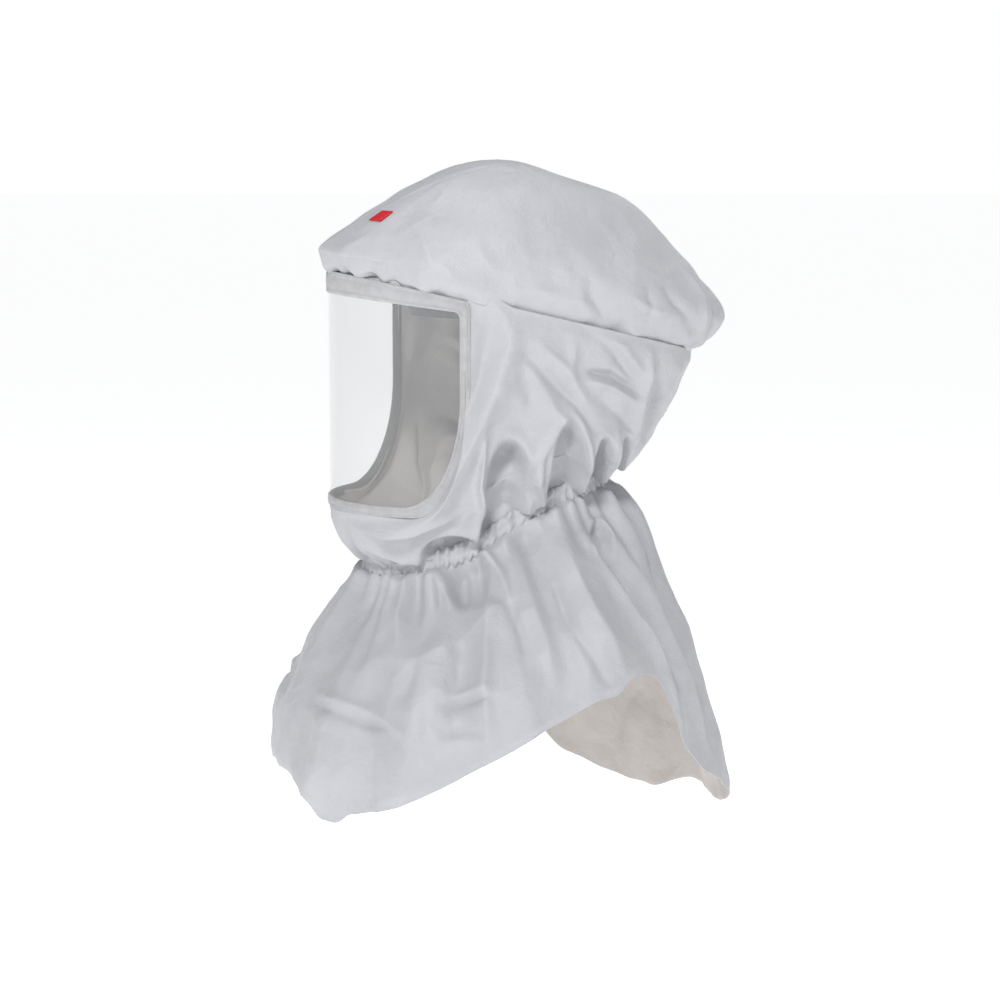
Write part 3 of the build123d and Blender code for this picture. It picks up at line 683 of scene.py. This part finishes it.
def hood_sides():
    """The hood from the crown seam to the neck, in one sheet round the back and under the visor."""
    half_cols = 280
    rows = 170
    top = side_edges(half_cols)
    share = np.linspace(0, 1, half_cols)
    bottom_angle = np.pi * (1 - share) ** 0.92
    r = np.linspace(0, 1, rows)[:, None]
    bend = smooth(r) * 0.35 + r * 0.65
    angle = top[None, :, 0] * (1 - bend) + bottom_angle[None, :] * bend
    v = top[None, :, 1] * (1 - r) + r
    left = SIDE.point(angle, v)
    right_angle = -angle[:, ::-1][:, 1:]
    right = SIDE.point(right_angle, v[:, ::-1][:, 1:])
    grid = neck_warp(np.concatenate([left, right], axis=1))
    angle = np.concatenate([angle, right_angle], axis=1)
    v = np.concatenate([v, v[:, ::-1][:, 1:]], axis=1)
    view = both_sides(grid, 43)
    flank = smooth((np.abs(grid[..., 0]) - 25) / 35)
    mirror = np.where(grid[..., 0] < 0, 0.8, 1.0)
    height = np.zeros(grid.shape[:-1])
    for path, width, rise, sharp in SIDE_FOLDS:
        height += fold(view, path, width, rise, sharp)
    for centre, size, depth, rim in SIDE_POCKETS:
        height += pocket(view, centre, size, depth, rim)
    height *= 1.3 * flank * mirror * (1 - 0.9 * smooth((v - 0.93) / 0.06))
    neck = smooth((v - 0.55) / 0.45)
    behind = 1 - flank * (0.65 * smooth((view[..., 0] + 80) / 60))
    height += 5.0 * pleat_wave(angle, 21, 15) * neck ** 2 * behind
    height += 2.4 * pleat_wave(angle, 33, 37) * smooth((v - 0.82) / 0.18) ** 2
    quiet = smooth(np.linspace(0, 1, rows)[:, None] * 9)
    height += (1.6 * Noise(41)(grid, 60.0) + 2.8 * facets(grid, 51, 40.0)
               + 0.8 * facets(grid, 61, 17.0)) * quiet
    height *= smooth(r * 6)
    height -= 1.6 * (1 - smooth(r * 14))
    grid = grid + normals_of(grid) * height[..., None]
    # cloth above the elastic hangs over it
    droop = 5.0 * smooth((v - 0.72) / 0.2) * (1 - smooth((v - 0.93) / 0.07))
    grid[..., 2] -= droop * flank
    # drawn in at the elastic
    pinch = smooth((v - 0.93) / 0.07)
    grid[..., :2] += (NECK_MIDDLE - grid[..., :2]) * (NECK_PINCH * pinch)[..., None]
    grid = relax(grid, 2)
    faces = [f for f in grid_faces(grid.shape[0], grid.shape[1]) if not in_port(grid, f)]
    obj = make_object("hood_side_cloth", grid, faces)
    clean_loose(obj)
    obj.data.materials.append(HOOD_OUT)
    thicken(obj, CLOTH, HOOD_IN)
    finish_piece(obj, ROOT, "hood_fabric", "side_panel_left", "side_panel_right")


def port_axis():
    """Centre and outward direction of the rear port, millimetres."""
    centre = np.array([0, -PORT_CENTRE[0], PORT_CENTRE[1]])
    return centre, np.array([0, math.cos(PORT_TILT), -math.sin(PORT_TILT)])


def in_port(grid, face):
    """True if a face lies inside the rear port's hole."""
    flat = grid.reshape(-1, 3)
    middle = flat[list(face)].mean(0)
    centre, out = port_axis()
    gap = middle - centre
    depth = gap @ out
    return abs(depth) < 30 and np.linalg.norm(gap - depth * out) < PORT_HOLE - 1.0


def clean_loose(obj):
    """Removes points that no face uses."""
    bm = bmesh.new()
    bm.from_mesh(obj.data)
    bmesh.ops.delete(bm, geom=[v for v in bm.verts if not v.link_faces], context="VERTS")
    bm.to_mesh(obj.data)
    bm.free()


# ---------------------------------------------------------------- cape
CAPE_FOLDS = [
    # path in (forward, height), width, height, sharpness
    ([(132, -232), (163, -264), (190, -302)], 7, 4.0, 0.6),
    ([(172, -286), (189, -327), (202, -352), (216, -410)], 13, 8.0, 0.6),
    ([(150, -300), (170, -350), (180, -410)], 20, -4.0, 0.2),
    ([(98, -232), (120, -263), (150, -312)], 10, -6.0, 0.4),
    ([(114, -230), (136, -254), (146, -282)], 9, 5.0, 0.5),
    ([(96, -214), (104, -232), (112, -252)], 6, 5.0, 0.6),
    ([(62, -222), (80, -268), (90, -300), (92, -340)], 9, 7.0, 0.5),
    ([(100, -262), (112, -300), (120, -330)], 14, -4.5, 0.3),
    ([(56, -232), (51, -262), (52, -290)], 7, -4.0, 0.6),
    ([(36, -206), (34, -250), (30, -300)], 10, 5.0, 0.4),
    ([(12, -220), (8, -257), (-12, -304)], 7, -5.0, 0.5),
    ([(-2, -206), (-12, -250), (-30, -296)], 9, 5.0, 0.5),
    ([(-26, -196), (-50, -240), (-88, -306), (-96, -350)], 9, 7.0, 0.6),
    ([(-40, -198), (-66, -246), (-100, -316)], 11, -6.0, 0.4),
    ([(-56, -196), (-88, -256), (-124, -350), (-146, -420)], 11, 6.0, 0.5),
    ([(200, -336), (184, -339), (166, -338)], 5, -4.0, 0.7),
    ([(198, -328), (176, -328), (150, -346)], 6, 3.5, 0.6),
    ([(122, -319), (104, -312), (88, -310)], 5, -4.0, 0.7),
    ([(120, -310), (104, -304), (86, -302)], 5, 3.0, 0.6),
    ([(126, -340), (110, -336), (96, -342)], 6, -3.0, 0.5),
]
CAPE_POCKETS = [
    # centre in (forward, height), half sizes, depth, rim
    ((76, -224), (19, 15), 9, 3.0),
    ((-44, -196), (10, 12), 5, 2.0),
]


def cape():
    """Shoulder cape, one sheet from the neck to the hem."""
    cols = 620
    rows = 180
    angle = np.linspace(-np.pi, np.pi, cols, endpoint=False)
    hem = hem_rows(angle)
    r = np.linspace(0, 1, rows)[:, None]
    v = r * hem[None, :]
    angles = np.broadcast_to(angle[None, :], v.shape)
    grid = neck_warp(CAPE.point(angles, v))
    view = both_sides(grid, 83)
    flank = smooth((np.abs(grid[..., 0]) - 20) / 50)
    mirror = np.where(grid[..., 0] < 0, 0.8, 1.0)
    height = np.zeros(grid.shape[:-1])
    for path, width, rise, sharp in CAPE_FOLDS:
        height += fold(view, path, width, rise, sharp)
    for centre, size, depth, rim in CAPE_POCKETS:
        height += pocket(view, centre, size, depth, rim)
    height *= 1.4 * flank * mirror
    height -= 5.0 * smooth(r * 6)
    fade = np.exp(-r * 5.0)
    height += 3.2 * pleat_wave(angles, 33, 37) * fade * smooth(r * 30)
    height += 5.0 * pleat_wave(angles, 71, 13) * smooth(r * 12) * np.exp(-r * 1.6)
    height += 5.0 * pleat_wave(angles, 81, 7) * smooth(r * 1.6)
    height += (2.6 * Noise(91)(grid, 80.0) + 4.2 * facets(grid, 95, 58.0)
               + 1.1 * facets(grid, 99, 24.0)) * smooth(r * 5)
    height *= smooth(r * 14)
    grid = grid + normals_of(grid, True) * height[..., None]
    # the hem curls under in places
    curl = smooth((r - 0.96) / 0.04) * (0.5 + 0.5 * pleat_wave(angles, 77, 9))
    out = normals_of(grid, True)
    grid = grid - out * (curl * 2.5)[..., None]
    pinch = 1 - smooth(r * 14)
    grid[..., :2] += (NECK_MIDDLE - grid[..., :2]) * (NECK_PINCH * pinch)[..., None]
    grid = relax(grid, 2, wrap=True)
    obj = make_object("cape_cloth", grid, [f[::-1] for f in grid_faces(rows, cols, wrap=True)])
    obj.data.materials.append(HOOD_OUT)
    thicken(obj, CLOTH, HOOD_IN)
    finish_piece(obj, ROOT, "hood_fabric", "cape_left", "cape_right")


def hem_rows(angle):
    """Where the hem lies on the cape sections, for each angle."""
    steps = np.linspace(0.15, 1, 500)
    points = CAPE.point(angle[:, None], steps[None, :])
    forward = -points[..., 1]
    left, right = (np.array(sorted(line), float) for line in (HEM_LEFT, HEM_RIGHT))
    hem = np.where(np.sin(angle)[:, None] > 0, np.interp(forward, left[:, 0], left[:, 1]),
                   np.interp(forward, right[:, 0], right[:, 1]))
    below = points[..., 2] < hem
    v = np.where(below.any(axis=1), steps[np.argmax(below, axis=1)], 1.0)
    kernel = np.hanning(13)
    kernel /= kernel.sum()
    padded = np.concatenate([v[-6:], v, v[:6]])
    return np.convolve(padded, kernel, "valid")


# ---------------------------------------------------------------- neck gathers
def neck_ring(angle, lift):
    """Points round the neck, lift millimetres above the middle of the casing."""
    section = (NECK_HEIGHT + lift, *NECK_SHAPE)
    return neck_warp(Tube([section] * 2).point(angle, np.zeros(len(angle))))


def neck_gather():
    """The gathered tunnel over the neck elastic, drawn into tight ruffles."""
    cols = 720
    profile = [(-9.5, 0.6), (-7, 2.2), (-4.5, 3.0), (-2, 2.0), (0, 1.4), (2, 2.0), (4.5, 3.0), (7, 2.2),
               (9.5, 0.6)]
    angle = np.linspace(-np.pi, np.pi, cols, endpoint=False)
    rng = np.random.default_rng(7)
    bend = sum(rng.uniform(0.1, 0.3) * np.sin(k * angle + rng.uniform(0, 6.28)) for k in (3, 5, 8, 13))
    fine = np.cos(58 * angle + 5 * bend)
    finer = np.cos(97 * angle - 4 * bend)
    rows = []
    for lift, out in profile:
        ring = neck_ring(angle, lift)
        ahead = np.roll(ring, -1, 0) - np.roll(ring, 1, 0)
        outward = np.stack([ahead[:, 1], -ahead[:, 0], 0 * angle], -1)
        outward /= np.linalg.norm(outward, axis=-1, keepdims=True)
        if np.sum(outward * (ring - np.array([*NECK_MIDDLE, 0]))) < 0:
            outward = -outward
        amount = out - 2.4 + (1.1 * fine + 0.7 * finer) * (0.4 + abs(lift) / 9)
        ring = ring + outward * amount[:, None]
        ring[:, 2] += 0.9 * finer * np.sign(lift) + 0.6 * fine
        rows.append(ring)
    grid = np.stack(rows)
    obj = make_object("neck_gather_cloth", grid, grid_faces(len(rows), cols, wrap=True))
    obj.data.materials.append(HOOD_OUT)
    thicken(obj, CLOTH, HOOD_IN)
    round_off = obj.modifiers.new("smooth", "SUBSURF")
    round_off.levels = round_off.render_levels = 1
    finish_piece(obj, ROOT, "hood_fabric", "neck_casing")


def neck_elastic():
    """The elastic inside the neck casing, along the same curved line."""
    cols = 360
    angle = np.linspace(-np.pi, np.pi, cols, endpoint=False)
    rows = []
    for lift, inset in ((-3.5, 3.2), (0, 3.0), (3.5, 3.2), (3.5, 4.0), (0, 4.2), (-3.5, 4.0)):
        ring = neck_ring(angle, lift)
        away = ring[:, :2] - NECK_MIDDLE
        ring[:, :2] -= away / np.linalg.norm(away, axis=-1, keepdims=True) * inset
        rows.append(ring)
    many = len(rows)
    faces = [(k * cols + c, k * cols + (c + 1) % cols, (k + 1) % many * cols + (c + 1) % cols,
              (k + 1) % many * cols + c) for k in range(many) for c in range(cols)]
    obj = make_object("neck_elastic_band", np.stack(rows), faces)
    obj.data.materials.append(ELASTIC)
    weld(obj, 0.00001)
    finish_piece(obj, ROOT, "elastic", "neck_elastic")


# ---------------------------------------------------------------- visor
def visor_path(grow, top_line):
    """The visor's outline in side view from the front of the top edge to the front of the bottom."""
    back = VISOR_SIDE - grow
    low = VISOR_BOTTOM - grow
    run, climb = VISOR_CORNER
    front = VISOR_CENTRE + VISOR_RADIUS - 0.01
    r = 6.0

    def high(forward):
        return top_line[0] + top_line[1] * forward

    path = [(f, high(f)) for f in np.linspace(front, back + r, 70)]
    path += [(back + r * (1 - math.sin(t)), high(back + r) - r * (1 - math.cos(t)))
             for t in np.linspace(0, math.pi / 2, 12)]
    path += [(back, h) for h in np.linspace(high(back + r) - r, low + climb, 60)[1:-1]]
    path += [(back + run * (1 - math.cos(t)), low + climb * (1 - math.sin(t)))
             for t in np.linspace(0, math.pi / 2, 60)]
    path += [(f, low) for f in np.linspace(back + run, front, 60)[1:]]
    return np.array(path)


def on_visor(path, out):
    """Points on the visor's arc, on the left side, out millimetres outside it."""
    radius = VISOR_RADIUS
    cosine = np.clip((path[:, 0] - VISOR_CENTRE) / radius, -1, 1)
    angle = np.arccos(cosine)
    reach = radius + out
    return np.stack([reach * np.sin(angle), -(VISOR_CENTRE + reach * cosine), path[:, 1]], -1)


def even_path(path, count):
    """The same path with points evenly spaced along the bent sheet."""
    points = on_visor(path, 0)
    gaps = np.linalg.norm(np.diff(points, axis=0), axis=-1)
    length = np.concatenate([[0], np.cumsum(gaps)])
    even = np.linspace(0, length[-1], count)
    return np.stack([np.interp(even, length, path[:, k]) for k in (0, 1)], -1)


def visor_tape():
    """Binding tape round the visor with a wide top band, rounded edges and two rows of stitches."""
    count = 420
    inner = even_path(visor_path(0, LENS_TOP_LINE), count)
    outer = even_path(visor_path(TAPE_WIDTH, BAND_TOP_LINE), count)
    # cross-section from the inner lip, over the outside, to the inside: share across, height
    lips = [(0.0, -1.2), (-0.03, 0.2), (0.03, 1.5), (0.10, 1.8), (0.16, 1.75), (0.20, 1.35),
            (0.24, 1.75), (0.5, 1.9), (0.78, 1.8), (0.82, 1.4), (0.86, 1.8), (0.95, 1.7),
            (1.03, 1.0), (1.05, 0.0), (1.0, -1.4), (0.5, -1.7)]
    steps = np.arange(count)
    rings = []
    for share, out in lips:
        path = inner * (1 - share) + outer * share
        wobble = 0.18 * np.sin(steps * 0.45) + 0.14 * np.sin(steps * 1.13 + share * 3)
        rings.append(on_visor(path, out + (wobble if out > 1 else 0)))
    section = np.stack(rings)                       # lips by count
    other = section[:, ::-1] * np.array([-1, 1, 1])
    loop = np.concatenate([section, other], axis=1)
    keep = loop.shape[1]
    verts = np.swapaxes(loop, 0, 1).reshape(-1, 3)
    many = len(lips)
    faces = []
    for c in range(keep):
        d = (c + 1) % keep
        for k in range(many):
            j = (k + 1) % many
            faces.append((c * many + k, c * many + j, d * many + j, d * many + k))
    obj = make_object("visor_binding", verts, faces)
    obj.data.materials.append(TAPE)
    obj.data.materials.append(TAPE_PAINTED_SHADE)
    # the inner lip and inside faces get the dark painted-shade tape material
    inside = [1 if k % many in (0, many - 1, many - 2) else 0 for k in range(keep * many)]
    obj.data.polygons.foreach_set("material_index", inside)
    weld(obj, 0.00012)
    finish_piece(obj, ROOT, "seam_tape", "visor_edge_tape")
    stitch_row("visor_stitches", inner, outer, 0.18, count)


def weld(obj, distance):
    """Joins points that meet and makes the faces look outwards."""
    bm = bmesh.new()
    bm.from_mesh(obj.data)
    bmesh.ops.remove_doubles(bm, verts=bm.verts, dist=distance)
    bmesh.ops.recalc_face_normals(bm, faces=bm.faces)
    bm.to_mesh(obj.data)
    bm.free()
    obj.data.polygons.foreach_set("use_smooth", [True] * len(obj.data.polygons))


def stitch_row(name, inner, outer, share, count):
    """Short raised threads along the tape."""
    verts, faces = [], []
    path = inner * (1 - share) + outer * share
    places = list(range(2, count - 3, 3))
    for sign in (1, -1):
        for k in places:
            a = on_visor(path[k:k + 1], 1.55)[0]
            b = on_visor(path[k + 2:k + 3], 1.55)[0]
            add_thread(verts, faces, a, a + (b - a) * 0.8, on_visor(path[k:k + 1], 2.1)[0] - a, sign)
    obj = make_object(name, verts, faces)
    obj.data.materials.append(TAPE)
    finish_piece(obj, ROOT, "seam_tape")


def add_thread(verts, faces, a, b, up, sign):
    """One stitch: a low six-sided bead between two points."""
    run = b - a
    length = np.linalg.norm(run)
    run /= max(length, 1e-6)
    up = up / max(np.linalg.norm(up), 1e-6)
    across = np.cross(run, up)
    first = len(verts)
    for t, thick in ((0.0, 0.12), (0.25, 0.3), (0.75, 0.3), (1.0, 0.12)):
        for turn in range(6):
            angle = math.tau * turn / 6
            p = a + run * length * t + (math.cos(angle) * across + math.sin(angle) * up) * thick
            verts.append((p[0] * sign, p[1], p[2]))
    for k in range(3):
        for turn in range(6):
            nxt = (turn + 1) % 6
            face = (first + k * 6 + turn, first + k * 6 + nxt, first + (k + 1) * 6 + nxt,
                    first + (k + 1) * 6 + turn)
            faces.append(face if sign > 0 else face[::-1])
    ends = [tuple(first + t for t in range(6))[::-1], tuple(first + 18 + t for t in range(6))]
    faces.extend(e if sign > 0 else e[::-1] for e in ends)


def lens():
    """The clear sheet, bent on the visor's arc."""
    rows, cols = 60, 140
    span = math.acos((VISOR_SIDE - 1.5 - VISOR_CENTRE) / VISOR_RADIUS)
    angle = np.linspace(-span, span, cols)
    forward = VISOR_CENTRE + VISOR_RADIUS * np.cos(angle)
    run, climb = VISOR_CORNER
    across = np.clip((forward - (VISOR_SIDE - 1.5)) / run, 0, 1)
    low = VISOR_BOTTOM - 1.5 + climb * (1 - np.sqrt(1 - (1 - across) ** 2))
    high = (LENS_TOP_LINE[0] + 1.5 + LENS_TOP_LINE[1] * forward)[None, :]
    r = np.linspace(0, 1, rows)[:, None]
    z = high * (1 - r) + low[None, :] * r
    radius = VISOR_RADIUS - 0.1
    grid = np.stack([np.broadcast_to(radius * np.sin(angle), z.shape),
                     np.broadcast_to(-(VISOR_CENTRE + radius * np.cos(angle)), z.shape), z], -1)
    obj = make_object("visor_lens_sheet", grid, grid_faces(rows, cols))
    obj.data.materials.append(LENS)
    thicken(obj, 0.0005)
    finish_piece(obj, ROOT, "lens", "visor_lens")


# ---------------------------------------------------------------- small fabric parts
def port_rim():
    """Gathered elastic rim that hugs the inlet socket."""
    cols, around = 180, 14
    centre, out = port_axis()
    x_axis = np.array([1.0, 0, 0])
    y_axis = np.cross(out, x_axis)
    rows = []
    for j in range(around):
        turn = 2 * math.pi * j / around
        ring = []
        for k in range(cols):
            a = 2 * math.pi * k / cols
            ruffle = 0.55 * math.cos(26 * a) + 0.3 * math.cos(41 * a + 1)
            r = 22.3 + (2.0 + 0.5 * ruffle) * math.cos(turn)
            lift = -1.6 + (3.6 + 0.6 * ruffle) * math.sin(turn)
            ring.append(centre + (x_axis * math.cos(a) + y_axis * math.sin(a)) * r + out * lift)
        rows.append(ring)
    grid = np.array(rows)
    faces = grid_faces(around, cols, wrap=True)
    faces += [((around - 1) * cols + c, (around - 1) * cols + (c + 1) % cols, (c + 1) % cols, c)
              for c in range(cols)]
    obj = make_object("port_rim_elastic", grid, faces)
    weld(obj, 0.00001)
    obj.data.materials.append(ELASTIC)
    finish_piece(obj, ROOT, "elastic", "port_elastic")


def crown_tab():
    """Plain coloured tab sewn to the crown's front slope, with a raised border."""
    rows, cols = 24, 34
    v = np.linspace(0, 1, rows)[:, None]
    u = np.linspace(0, 1, cols)[None, :]
    angle = np.radians(12 + 9 * u) + 0 * v
    level = 0.400 + 0.050 * v + 0 * u
    base = CROWN.point(angle, level)
    n = normals_of(base)
    edge = np.minimum(np.minimum(u, 1 - u) * 14, np.minimum(v, 1 - v) * 10)
    raise_by = 1.0 + 0.5 * smooth(edge) - 0.25 * np.exp(-((edge - 1.6) / 0.3) ** 2)
    grid = base + n * raise_by[..., None]
    obj = make_object("crown_tab_patch", grid, grid_faces(rows, cols))
    obj.data.materials.append(TAB)
    thicken(obj, 0.0012)
    finish_piece(obj, ROOT, "tab", "crown_tab")


# ---------------------------------------------------------------- pads
def soft_pad(name, node, body, swell):
    """A padded piece grown from its CAD solid: remeshed, then blown up by cloth simulation."""
    source = frame["nodes"][node]
    mesh = source.data.copy()
    obj = bpy.data.objects.new(name, mesh)
    bpy.context.scene.collection.objects.link(obj)
    remesh = obj.modifiers.new("remesh", "REMESH")
    remesh.mode = "VOXEL"
    remesh.voxel_size = 0.0022
    soften = obj.modifiers.new("soften", "SMOOTH")
    soften.factor = 0.6
    soften.iterations = 8
    apply_modifiers(obj)
    inflate(obj, swell)
    obj.data.materials.clear()
    obj.data.materials.append(BY_SLOT["foam"])
    obj.data.polygons.foreach_set("use_smooth", [True] * len(obj.data.polygons))
    finish_piece(obj, body, "foam", node)


def apply_modifiers(obj):
    """Bakes the object's modifiers into its mesh."""
    depsgraph = bpy.context.evaluated_depsgraph_get()
    depsgraph.update()
    made = bpy.data.meshes.new_from_object(obj.evaluated_get(depsgraph), depsgraph=depsgraph)
    obj.modifiers.clear()
    obj.data = made


def inflate(obj, cap):
    """Blows a closed mesh up with cloth pressure and holds every point within cap metres."""
    last_frame = 16
    scene = bpy.context.scene
    start = np.array([v.co[:] for v in obj.data.vertices])
    cloth = obj.modifiers.new("cloth", "CLOTH")
    cloth.settings.use_pressure = True
    cloth.settings.uniform_pressure_force = 4.0
    cloth.settings.effector_weights.gravity = 0
    cloth.settings.quality = 4
    cloth.point_cache.frame_start = 1
    cloth.point_cache.frame_end = last_frame
    for step in range(1, last_frame + 1):
        scene.frame_set(step)
    depsgraph = bpy.context.evaluated_depsgraph_get()
    made = bpy.data.meshes.new_from_object(obj.evaluated_get(depsgraph), depsgraph=depsgraph)
    obj.modifiers.clear()
    scene.frame_set(1)
    moved = np.array([v.co[:] for v in made.vertices])
    if len(moved) == len(start):
        shift = moved - start
        far = np.linalg.norm(shift, axis=1, keepdims=True)
        shift *= np.minimum(1, cap / np.maximum(far, 1e-9))
        made.vertices.foreach_set("co", (start + shift).ravel())
    obj.data = made


# ---------------------------------------------------------------- stage
def camera():
    """Camera at the photograph's angle, low at the wearer's left and slightly ahead."""
    azimuth, elevation, distance = math.radians(72), math.radians(8), 2.2
    target = Vector((-0.006, -0.018, -0.178))       # a little below the chin, near the mid line
    back = Vector((math.sin(azimuth) * math.cos(elevation), -math.cos(azimuth) * math.cos(elevation),
                   math.sin(elevation)))
    data = bpy.data.cameras.new("camera")
    data.lens = 89.9
    data.sensor_width = 36
    data.clip_end = 50
    obj = bpy.data.objects.new("camera", data)
    obj.location = target + back * distance
    obj.rotation_euler = back.to_track_quat("Z", "Y").to_euler()
    bpy.context.scene.collection.objects.link(obj)
    bpy.context.scene.camera = obj


def area_light(name, place, target, size, power_watts):
    """Soft square light."""
    data = bpy.data.lights.new(name, "AREA")
    data.size = size
    data.energy = power_watts
    obj = bpy.data.objects.new(name, data)
    obj.location = place
    obj.rotation_euler = (Vector(place) - Vector(target)).to_track_quat("Z", "Y").to_euler()
    bpy.context.scene.collection.objects.link(obj)


def stage():
    """Plain pale floor, pale surroundings, and soft lights from the front, above and behind."""
    low = cad_box[0][2]
    size = 60.0
    mesh = bpy.data.meshes.new("floor")
    z = low - 0.32                  # well below the hem, as if the hood floated in front of paper
    mesh.from_pydata([(-size, -size, z), (size, -size, z), (size, size, z), (-size, size, z)], [],
                     [(0, 1, 2, 3)])
    floor = bpy.data.objects.new("floor", mesh)
    bpy.context.scene.collection.objects.link(floor)
    m = Nodes("floor_paint")
    m.set(Base_Color=(0.8, 0.8, 0.8, 1), Roughness=0.9, Emission_Color=(1, 1, 1, 1),
          Emission_Strength=0.84)
    mesh.materials.append(m.material)
    world = bpy.data.worlds.new("world")
    world.use_nodes = True
    tree = world.node_tree
    place = tree.nodes.new("ShaderNodeTexCoord")
    split = tree.nodes.new("ShaderNodeSeparateXYZ")
    ramp = tree.nodes.new("ShaderNodeValToRGB")
    sky = [(0.06, (1, 1, 1, 1)), (0.2, (0.14, 0.145, 0.155, 1))]      # white near the horizon
    for element, (place_up, colour) in zip(ramp.color_ramp.elements, sky):
        element.position, element.color = place_up, colour
    tree.links.new(place.outputs["Generated"], split.inputs["Vector"])
    tree.links.new(split.outputs["Z"], ramp.inputs["Fac"])
    tree.links.new(ramp.outputs["Color"], tree.nodes["Background"].inputs["Color"])
    tree.nodes["Background"].inputs["Strength"].default_value = 1.0
    bpy.context.scene.world = world
    bpy.context.scene.view_settings.view_transform = "Standard"
    area_light("key", (1.85, -1.05, 1.45), (0, 0, -0.2), 0.45, 38)
    area_light("top", (-0.2, 0.1, 2.6), (0, 0, -0.1), 1.6, 26)
    area_light("rim", (-1.6, 1.6, 1.2), (0, 0, -0.15), 1.2, 6)


def main():
    """Builds every piece."""
    camera()
    stage()
    dress_cad_nodes()
    crown_panel()
    hood_sides()
    cape()
    neck_gather()
    neck_elastic()
    visor_tape()
    lens()
    port_rim()
    crown_tab()
    soft_pad("brow_pad_foam", "brow_pad", ROOT, 0.0015)
    soft_pad("nape_pad_foam", "nape_pad", "rear_band", 0.0015)
    soft_pad("crown_pad_foam", "crown_pad", ROOT, 0.0015)


main()
